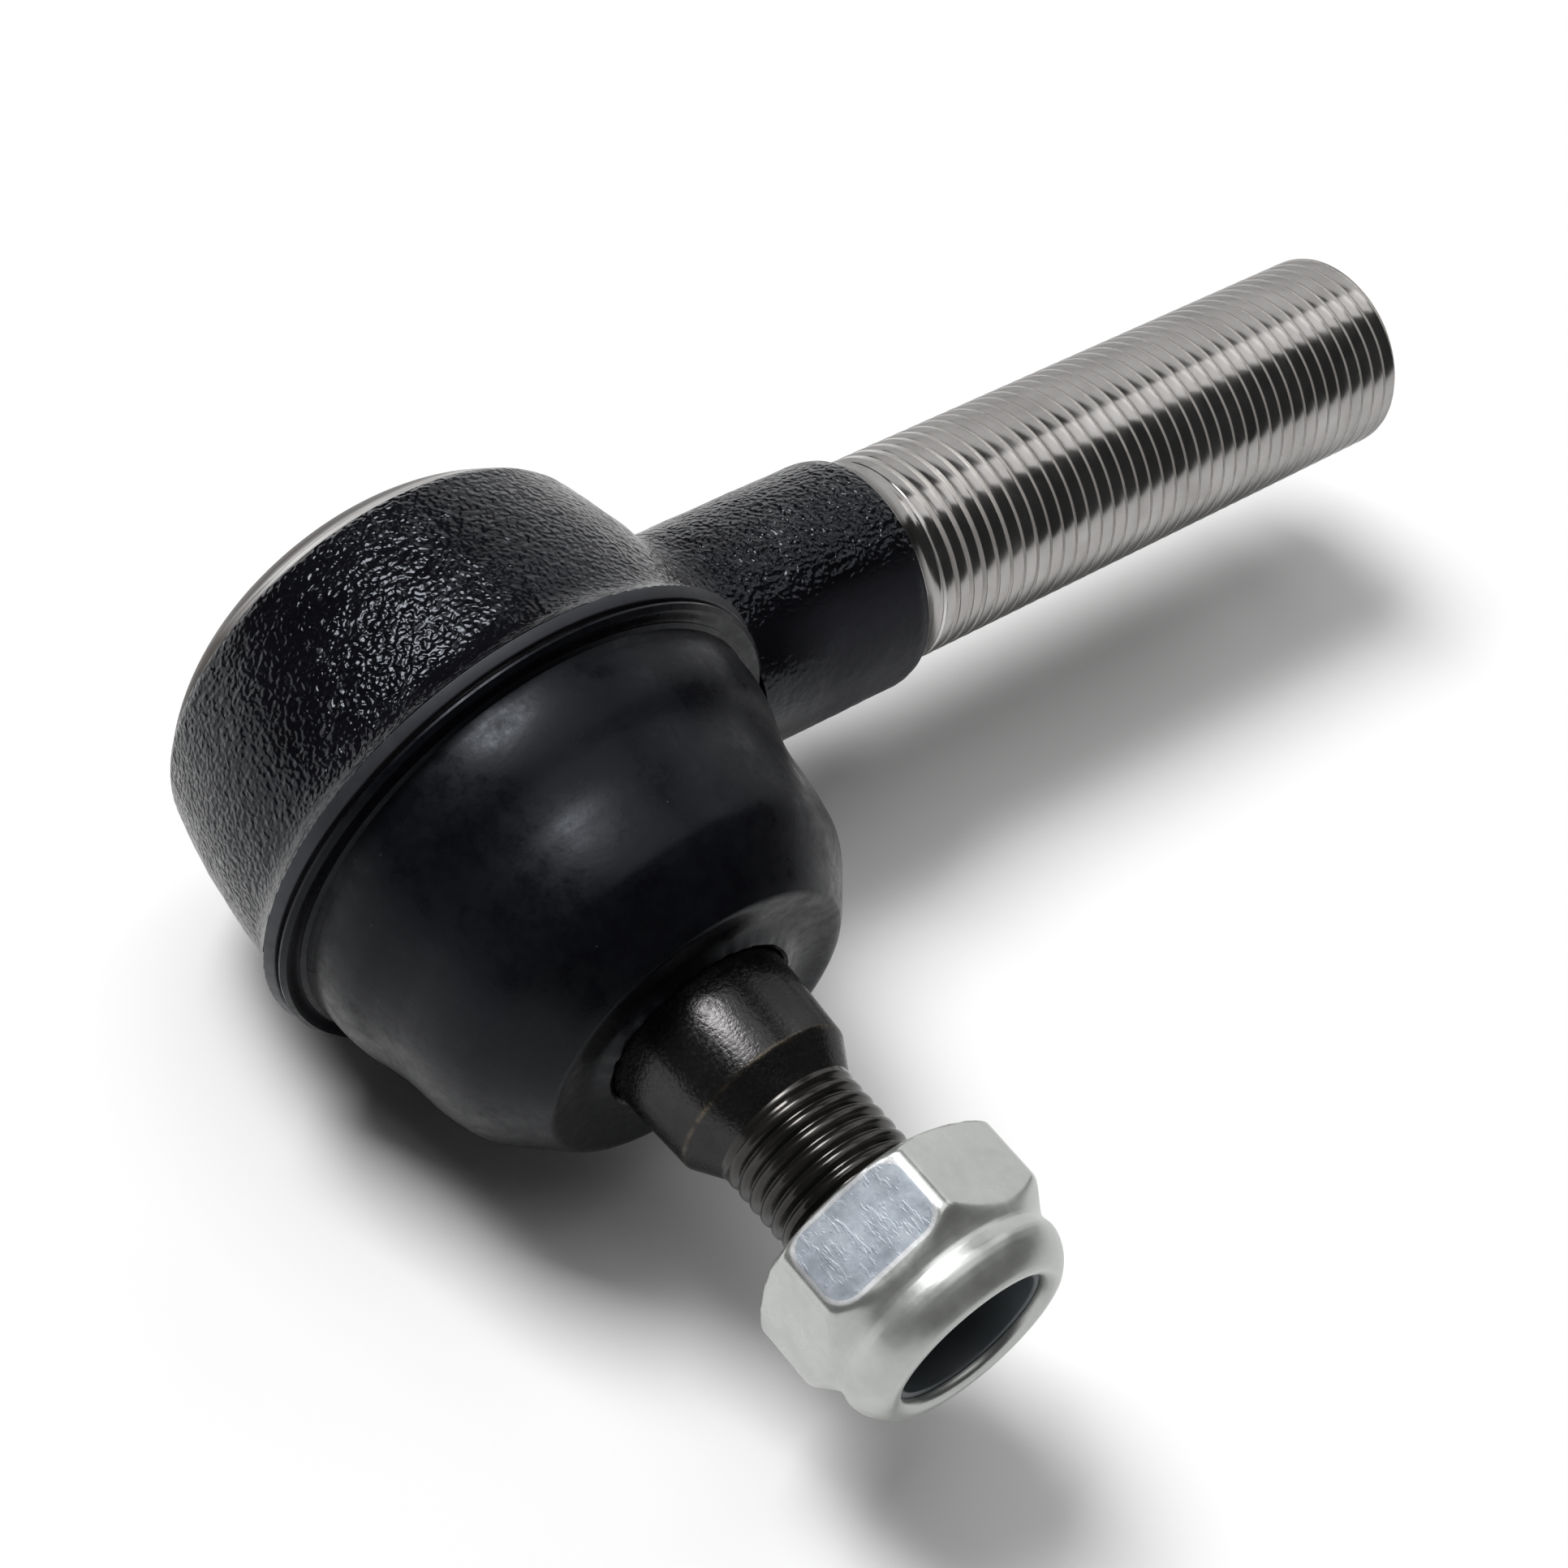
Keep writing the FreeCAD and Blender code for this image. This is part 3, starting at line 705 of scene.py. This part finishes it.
def snap_casting(points):
    """Puts points on the exact barrel or neck, and gives each one's distance from where the two meet."""
    radial = np.hypot(points[:, 0], points[:, 2])
    s = -points[:, 1]
    head_gap = radial - barrel_radius(s)
    around = np.hypot(points[:, 1], points[:, 2])
    neck_gap = np.where(points[:, 0] > 0, around - neck_radius(points[:, 0]), FAR)
    on_head = (np.abs(head_gap) < CASTING_SNAP) & (neck_gap > 0.2)
    on_head &= (s > COAT_EDGE_S - 0.8) & (s < FACE_S + 0.4)
    on_neck = (np.abs(neck_gap) < CASTING_SNAP) & (head_gap > 0.2) & (points[:, 0] < NECK_END_X + 1.2)
    snapped = points.copy()
    scale = barrel_radius(s) / np.maximum(radial, 1e-6)
    snapped[on_head, 0] *= scale[on_head]
    snapped[on_head, 2] *= scale[on_head]
    scale = neck_radius(points[:, 0]) / np.maximum(around, 1e-6)
    snapped[on_neck, 1] *= scale[on_neck]
    snapped[on_neck, 2] *= scale[on_neck]
    seam = np.maximum(np.abs(head_gap), np.abs(neck_gap))
    return snapped, seam


def skin_waves(x, y, z, waves, shift, height):
    """Height of one layer of the casting's skin, in mm."""
    return height * noise.noise((x * waves + shift, y * waves, z * waves))


def cast_texture(points):
    """Height of the coated casting's skin at each point, in mm."""
    return np.array([skin_waves(*point, *SKIN_COARSE) + skin_waves(*point, *SKIN_GRAIN)
                     + abs(skin_waves(*point, *SKIN_RIDGE)) for point in points])


def cut(piece, cutter):
    """Takes the cutter out of the piece and deletes it."""
    boolean = piece.modifiers.new("cut", "BOOLEAN")
    boolean.operation = "DIFFERENCE"
    boolean.solver = "MANIFOLD"
    boolean.object = cutter
    apply_modifiers(piece)
    bpy.data.objects.remove(cutter)
    return piece


def make_casting():
    """The black coated part of the housing, with a real cast skin."""
    piece = casting_blank()
    points, seam = snap_casting(get_points(piece))
    points = relax(points, edge_pairs(piece), 1 - smooth_step(seam, SEAM_NEAR, SEAM_FAR), SEAM_ROUNDS)
    set_points(piece, points)
    s = -points[:, 1]
    fade = smooth_step(s, COAT_EDGE_S, COAT_EDGE_S + 0.8) * (1 - smooth_step(s, BAND_S - 0.7, BAND_S))
    beyond = smooth_step(np.hypot(points[:, 0], points[:, 2]), BAND_R + 0.7, BAND_R + 1.7)
    fade = np.maximum(fade, beyond) * (1 - smooth_step(points[:, 0], NECK_END_X - 0.8, NECK_END_X - 0.1))
    set_points(piece, points + vertex_normals(piece) * (cast_texture(points) * fade)[:, None])
    trim_end = NECK_END_X + NECK_TRIM
    for name, about, outline in (
            ("room", "stud", [(0, BAND_S), (BAND_R + 0.02, BAND_S), (BAND_R + 0.02, FACE_S),
                              (BOOT_ROOM_R, FACE_S), (BOOT_ROOM_R, BOOT_ROOM_S), (0, BOOT_ROOM_S)]),
            ("top", "stud", [(0, RIM_S - 1), (HEAD_TRIM_R, RIM_S - 1),
                             (HEAD_TRIM_R, COAT_EDGE_S), (0, COAT_EDGE_S)]),
            ("end", "shank", [(0, NECK_END_X), (NECK_TRIM_R, NECK_END_X),
                              (NECK_TRIM_R, trim_end), (0, trim_end)]),
            ("bore", "stud", [(0, RIM_S), (PLUG_R, RIM_S), (PLUG_R, PLUG_SEAT_S),
                              (SEAT_BORE_R, PLUG_SEAT_S), (SEAT_BORE_R, FACE_S), (0, FACE_S)])):
        cut(piece, lathe(name, outline, about, closed=False))
    crisp(piece, 40)
    return paint(piece, black_coat())


def make_rim():
    """Bare rim, rolled over the plug."""
    edge = (COAT_EDGE_R - 0.02, COAT_EDGE_S)
    outline = [edge] + arc(edge, RIM_MIDDLE, (RIM_R, RIM_S), 24)
    outline += [(RIM_R - RIM_CHAMFER, RIM_S), (LIP_R, RIM_S + RIM_CHAMFER),
                (LIP_R, PLUG_EDGE_S), (PLUG_R, PLUG_EDGE_S), (PLUG_R, COAT_EDGE_S)]
    return paint(lathe("housing_rim", outline, "stud", turns=256), rim_steel())


def dome(radius, level):
    """Points of the plug's dome, from the axis to its edge at level."""
    ball = (radius**2 + DOME_RISE**2) / (2 * DOME_RISE)
    turns = np.linspace(0, math.asin(radius / ball), 33)
    return [(ball * math.sin(a), level - DOME_RISE + ball * (1 - math.cos(a))) for a in turns]


def make_plug():
    """Pressed end plug, a shallow dome with a flat edge."""
    outline = dome(DOME_R, PLUG_EDGE_S) + [(PLUG_R, PLUG_EDGE_S), (PLUG_R, PLUG_SEAT_S)]
    outline += dome(DOME_IN_R, PLUG_SEAT_S)[::-1]
    piece = lathe("plug_cap", outline, "stud", turns=192, closed=False)
    return paint(piece, plain_steel("plug_steel", 0.45, 0.28))


def make_mouth():
    """Machined flange with its smooth painted band, the boot's spigot and the mouth."""
    outline = [(BAND_R, BAND_S), (FACE_R, FACE_S), (GROOVE_R, FACE_S), (GROOVE_R, GROOVE_S),
               (SPIGOT_R, GROOVE_S), (SPIGOT_R, SPIGOT_S), (MOUTH_R, SPIGOT_S), (THROAT_R, THROAT_S),
               (THROAT_SEAT_R, THROAT_S), (SEAT_BORE_R, MOUTH_END_S), (SEAT_BORE_R, BAND_S)]
    return paint(lathe("housing_mouth", rounded(outline, 0.12), "stud", turns=256), smooth_coat())


def shank_radius(along, share):
    """Radius of the threaded shank: its thread opens towards the neck, and its end is chamfered."""
    run_in = smooth_step(along, SHANK_START_X - 0.2, SHANK_START_X + 1.6)
    shut = smooth_step(along, SHANK_START_X, SHANK_OPEN_X)
    crest = SHANK_OPEN_CREST + (SHANK_CREST - SHANK_OPEN_CREST) * shut
    depth = SHANK_OPEN_DEPTH + (SHANK_DEPTH - SHANK_OPEN_DEPTH) * shut
    drop = thread_drop(along / SHANK_PITCH - share, crest, depth, SHANK_SWELL, 0.2)
    chamfer = SHANK_R - np.clip(along - (SHANK_END_X - 1.0), 0, 1.0)
    return np.minimum(SHANK_R - run_in * drop, chamfer)


def make_shank():
    """Relief and threaded shank with a real right-hand helix."""
    head = [(0.0, NECK_END_X - 0.6), (COLLAR_R, NECK_END_X - 0.6), (COLLAR_R, NECK_END_X),
            (COLLAR_EDGE_R, NECK_END_X + 0.25), (RELIEF_R + 0.1, RELIEF_X - 0.2), (RELIEF_R, RELIEF_X),
            (SHANK_R, SHANK_START_X - 0.25)]
    tail = [(2.2, SHANK_END_X), (0.0, SHANK_END_X - 1.3)]
    marks = thread_marks(SHANK_CREST, SHANK_OPEN_CREST)
    piece = helix("housing_shank", "shank", SHANK_START_X - 0.2, SHANK_END_X, SHANK_PITCH, marks,
                  shank_radius, head, tail)
    return paint(crisp(piece, 38), turned_steel())


# ----------------------------------------------------------------- ball stud

def stud_radius(along, share):
    """Radius of the stud's threaded end, with a run-in at its start and a chamfer at its end."""
    run_in = smooth_step(along, STUD_START_S, STUD_START_S + 0.8)
    drop = thread_drop(along / STUD_PITCH - share, STUD_CREST, STUD_DEPTH, STUD_SWELL, 0.8)
    chamfer = STUD_R - np.clip(along - (STUD_END_S - 1.0), 0, 1.0)
    return np.minimum(STUD_R - run_in * drop, chamfer)


def make_stud():
    """Ball, neck, taper and helical thread."""
    neck_s = math.sqrt(BALL_R**2 - STUD_NECK_R**2)
    taper_r = TAPER_END_R + TAPER_SLOPE * (TAPER_END_S - TAPER_START_S)
    turn = math.atan2(neck_s, STUD_NECK_R)
    ball = [(BALL_R * math.cos(a), BALL_R * math.sin(a)) for a in np.linspace(-math.pi / 2, turn, 40)]
    body = [(STUD_NECK_R, neck_s), (STUD_NECK_R, STUD_NECK_S), (taper_r, TAPER_START_S),
            (TAPER_END_R, TAPER_END_S), (STUD_R, SHOULDER_S), (STUD_R, SHOULDER_S + 0.1)]
    head = ball + rounded(body, 0.14, closed=False)[1:]
    tail = [(1.6, STUD_END_S), (0.0, STUD_END_S - 0.9)]
    piece = helix("ball_stud_body", "stud", STUD_START_S, STUD_END_S, STUD_PITCH, thread_marks(STUD_CREST),
                  stud_radius, head, tail)
    crisp(piece, 38)
    paint(piece, phosphated_steel())
    piece.data.materials.append(oily_thread())
    for face in piece.data.polygons:
        if -face.center.y / MM > SHOULDER_S:
            face.material_index = 1
    return piece


# ---------------------------------------------------------------------- boot

def boot_outer():
    """Outer skin of the boot, from the foot's edge to the bore on the stud."""
    top = FOOT_S + FOOT_T
    foot = [(HUB_R, FOOT_S), (FOOT_R - 0.12, FOOT_S), (FOOT_R, FOOT_S + 0.12), (FOOT_R, FOOT_S + 0.32),
            (FOOT_R - 0.14, FOOT_S + 0.46), (FOOT_R - 0.34, top - 0.25), (FOOT_R - 0.75, top - 0.20),
            (FOOT_R - 1.10, top - 0.28), (FOOT_R - 1.45, top - 0.20), (BOWL_FOOT_R + 0.5, top - 0.10),
            (BOWL_FOOT_R + 0.12, top + 0.12)]
    end = [(BOOT_END_R + 0.33, BOOT_END_S - 0.01), (BOOT_END_R - 0.05, BOOT_END_S),
           (12.5, BOOT_END_S - 0.06), (11.6, BOOT_END_S - 0.25), (10.2, BOOT_END_S - 0.45),
           (9.2, BOOT_END_S - 0.35), (8.6, BOOT_END_S + 0.02), (8.25, BOOT_END_S + 0.16),
           (7.98, BOOT_END_S + 0.02)]
    return foot + spline(BOWL_LINE, 12) + end


def boot_inner():
    """Inner skin, from the bore back to the foot."""
    line = list(CROWN_LINE)
    line += arc(line[-1], (15.7, 23.0), (BOWL_R - BOOT_WALL, BOWL_S), 20)
    line += arc(line[-1], (18.95 - BOOT_WALL, 16.9), (19.95 - BOOT_WALL, 14.0), 16)
    return line + [(HUB_R, 11.0)]


def cut_outline(outline, low, high):
    """The part of an open outline between two levels, with points exactly on them."""
    result = []
    for (r0, s0), (r1, s1) in zip(outline, outline[1:]):
        for level in sorted((low, high), reverse=s1 < s0):
            if (s0 - level) * (s1 - level) < 0:
                result.append((r0 + (r1 - r0) * (level - s0) / (s1 - s0), level))
        if low <= s1 <= high:
            result.append((r1, s1))
    return result


def sag(piece):
    """Leans the soft bowl to the side it is pressed to, and frays the lip on the stud a little."""
    points = get_points(piece)
    s = -points[:, 1]
    radial = np.hypot(points[:, 0], points[:, 2])
    lip = (radial < 8.7) & (s > BOOT_END_S - 0.4)
    for i in np.nonzero(lip)[0]:
        points[i, 1] += LIP_FRAY * noise.noise((points[i, 0] * 0.9, points[i, 2] * 0.9, 3.0))
    share = smooth_step(s, 9.6, 17.0) * (1 - smooth_step(s, 21.0, 28.5)) * smooth_step(radial, 9.5, 14.0)
    points[:, 0] -= BOOT_LEAN * LEAN_X * share
    points[:, 2] -= BOOT_LEAN * LEAN_Z * share
    set_points(piece, points)


def make_boot():
    """Boot in two rings of rubber that meet at mid-height."""
    outer, inner = boot_outer(), boot_inner()
    rubber = boot_rubber()
    low = [outer[0]] + cut_outline(outer, 0.0, BOOT_SPLIT_S) + cut_outline(inner, 0.0, BOOT_SPLIT_S)
    high = cut_outline(outer, BOOT_SPLIT_S, FAR) + [inner[0]] + cut_outline(inner, BOOT_SPLIT_S, FAR)
    for name, outline, bodies, start, end in (
            ("boot_lower", low, ("housing", "boot_rocker"), FOOT_S + FOOT_T + 0.6, BOOT_SPLIT_S),
            ("boot_upper", high, ("boot_rocker", "boot_collar"), BOOT_SPLIT_S, BOOT_STIFF_S)):
        piece = paint(lathe(name, outline, "stud", turns=192), rubber)
        sag(piece)
        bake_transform(piece)
        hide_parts("boot")


# ----------------------------------------------------------------------- nut

def smooth_min(a, b, width):
    """The smaller of two values, with the corner between them rounded."""
    share = np.clip(0.5 + 0.5 * (b - a) / width, 0, 1)
    return b * (1 - share) + a * share - width * share * (1 - share)


def hexagon_radius(angle):
    """Distance from the nut's axis to its side at an angle, with rounded corners."""
    turn = (np.degrees(angle) - NUT_TURN) % 60 - 30
    half = NUT_FLATS / 2
    near = half / np.cos(np.radians(turn))
    beside = half / np.cos(np.radians(60 - np.abs(turn)))
    return smooth_min(near, beside, NUT_CORNER_ROUND)


def make_nut():
    """Hexagon with turned chamfers, its collar rolled over the insert, and a threaded bore."""
    levels = np.concatenate([np.linspace(NUT_BASE_S, 50.6, 10), np.linspace(51.2, 54.0, 7),
                             np.linspace(54.3, 59.0, 40), np.linspace(59.15, 61.0, 14),
                             [61.15, 61.28, 61.37, NUT_TOP_S]])
    envelope = np.interp(levels, NUT_ENVELOPE_S, NUT_ENVELOPE_R)
    lip = rounded([(NUT_ENVELOPE_R[-1], NUT_TOP_S), (7.2, NUT_TOP_S - 0.02), (6.62, NUT_TOP_S - 0.3),
                   (NUT_MOUTH_R, NUT_TOP_S - 0.65), (NUT_MOUTH_R, INSERT_TOP_S + 0.05)], 0.2, closed=False)
    inside = lip[1:] + [(INSERT_OUT_R + 0.05, INSERT_TOP_S + 0.05), (INSERT_OUT_R + 0.05, INSERT_S - 0.25),
                        (NUT_BORE_R, NUT_THREAD_S)]
    s, root = NUT_THREAD_S, NUT_BORE_R + NUT_THREAD_DEPTH
    while s > NUT_THREAD_END_S:
        inside += [(NUT_BORE_R, s - 0.35), (root, s - 0.62), (root, s - 0.76), (NUT_BORE_R, s - 1.02)]
        s -= STUD_PITCH
    inside += [(NUT_BORE_R, 50.1), (7.0, NUT_BASE_S), (8.2, NUT_BASE_S)]
    turns = 360
    points, faces = [], []
    for j in range(turns):
        angle = math.tau * j / turns
        radii = smooth_min(hexagon_radius(angle), envelope, NUT_CHAMFER_ROUND)
        for radius, s in list(zip(radii, levels)) + inside:
            points.append((radius * math.cos(angle), -s, radius * math.sin(angle)))
    rows = len(levels) + len(inside)
    for j in range(turns):
        this, following = j * rows, (j + 1) % turns * rows
        for i in range(rows):
            k = (i + 1) % rows
            faces.append((this + i, this + k, following + k, following + i))
    return paint(crisp(tidy_mesh(make_object("lock_nut_body", points, faces)), 45), zinc_plate())


def make_insert():
    """Nylon ring in the nut's collar."""
    outline = rounded([(INSERT_R, INSERT_S), (INSERT_OUT_R, INSERT_S), (INSERT_OUT_R, INSERT_TOP_S),
                       (INSERT_R, INSERT_TOP_S)], 0.22)
    return paint(lathe("nylon_ring", outline, "stud", turns=144), slate_nylon())


# --------------------------------------------------------------------- studio

def make_floor():
    """Plain pale floor under the object."""
    low = CAD_BOX[0][2] / MM
    half = FLOOR_HALF / MM
    corners = [(-half, -half, low), (half, -half, low), (half, half, low), (-half, half, low)]
    floor = make_object("floor", corners, [(0, 1, 2, 3)])
    n = Nodes("floor_paint")
    colour = n.ramp(n.noise(2.0), (0.3, 0.85), (0.7, 0.88))
    paint(floor, n.finish(Base_Color=colour, Roughness=0.9))


def area_light(name, place, target, size, power):
    """Soft white rectangular light that looks at a target."""
    data = bpy.data.lights.new(name, "AREA")
    data.shape = "RECTANGLE"
    data.size, data.size_y = size
    data.energy = power
    light = bpy.data.objects.new(name, data)
    bpy.context.scene.collection.objects.link(light)
    light.location = place
    light.rotation_euler = (Vector(target) - Vector(place)).to_track_quat("-Z", "Y").to_euler()


def make_camera():
    """Camera at the fitted place, with the picture's own roll."""
    forward = Vector(CAMERA_FORWARD).normalized()
    right = Vector(CAMERA_RIGHT)
    right = (right - forward * right.dot(forward)).normalized()
    up = right.cross(forward)
    place = Vector(CAMERA_PLACE) * MM
    data = bpy.data.cameras.new("camera")
    data.lens = CAMERA_LENS
    data.sensor_width = CAMERA_SENSOR
    data.clip_start = 0.01
    camera = bpy.data.objects.new("camera", data)
    bpy.context.scene.collection.objects.link(camera)
    camera.matrix_world = Matrix((
        (right.x, up.x, -forward.x, place.x),
        (right.y, up.y, -forward.y, place.y),
        (right.z, up.z, -forward.z, place.z),
        (0, 0, 0, 1)))
    bpy.context.scene.camera = camera


def make_world():
    """Faint white light from all round."""
    world = bpy.data.worlds.new("studio")
    world.use_nodes = True
    world.node_tree.nodes["Background"].inputs["Color"].default_value = (1, 1, 1, 1)
    world.node_tree.nodes["Background"].inputs["Strength"].default_value = WORLD_LIGHT
    bpy.context.scene.world = world


def make_lights():
    """Key light behind the head, a broad top light, a low wall of light and a strip past the shank's end."""
    for name, azimuth, elevation, distance, size, radiance in LIGHTS:
        a, e = math.radians(azimuth), math.radians(elevation)
        reach = distance * math.cos(e)
        place = [reach * math.cos(a), reach * math.sin(a), distance * math.sin(e)]
        area_light(name, place, LIGHT_TARGET, size, radiance * math.pi * size[0] * size[1])


def build():
    """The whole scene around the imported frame."""
    bpy.context.scene.view_settings.view_transform = "Standard"
    make_camera()
    make_world()
    make_floor()
    make_lights()
    for piece in (make_casting(), make_rim(), make_mouth(), make_shank()):
        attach(piece, "housing")
        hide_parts("housing")
    make_boot()
    for piece, body, node, slot in ((make_plug(), "housing", "end_plug", "pressed_steel"),
                                    (make_stud(), "stud", "ball_stud", "stud_steel"),
                                    (make_nut(), "nut", "lock_nut", "zinc_steel"),
                                    (make_insert(), "nut_carrier", "lock_nut_insert", "nylon")):
        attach(piece, body)
        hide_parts(node)


build()
paint_cad = {
    "plug_seal_ring": seal_rubber(),
    "preload_spring": plain_steel("spring_steel", 0.3, 0.25),
    "pressure_pad": acetal(),
    "bearing_seat": acetal(),
    "boot_base_ring": plain_steel("base_ring_steel", 0.4, 0.3),
    "boot_neck_ring": plain_steel("neck_ring_steel", 0.4, 0.3),
}
for node, material in paint_cad.items():
    paint(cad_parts[node], material)
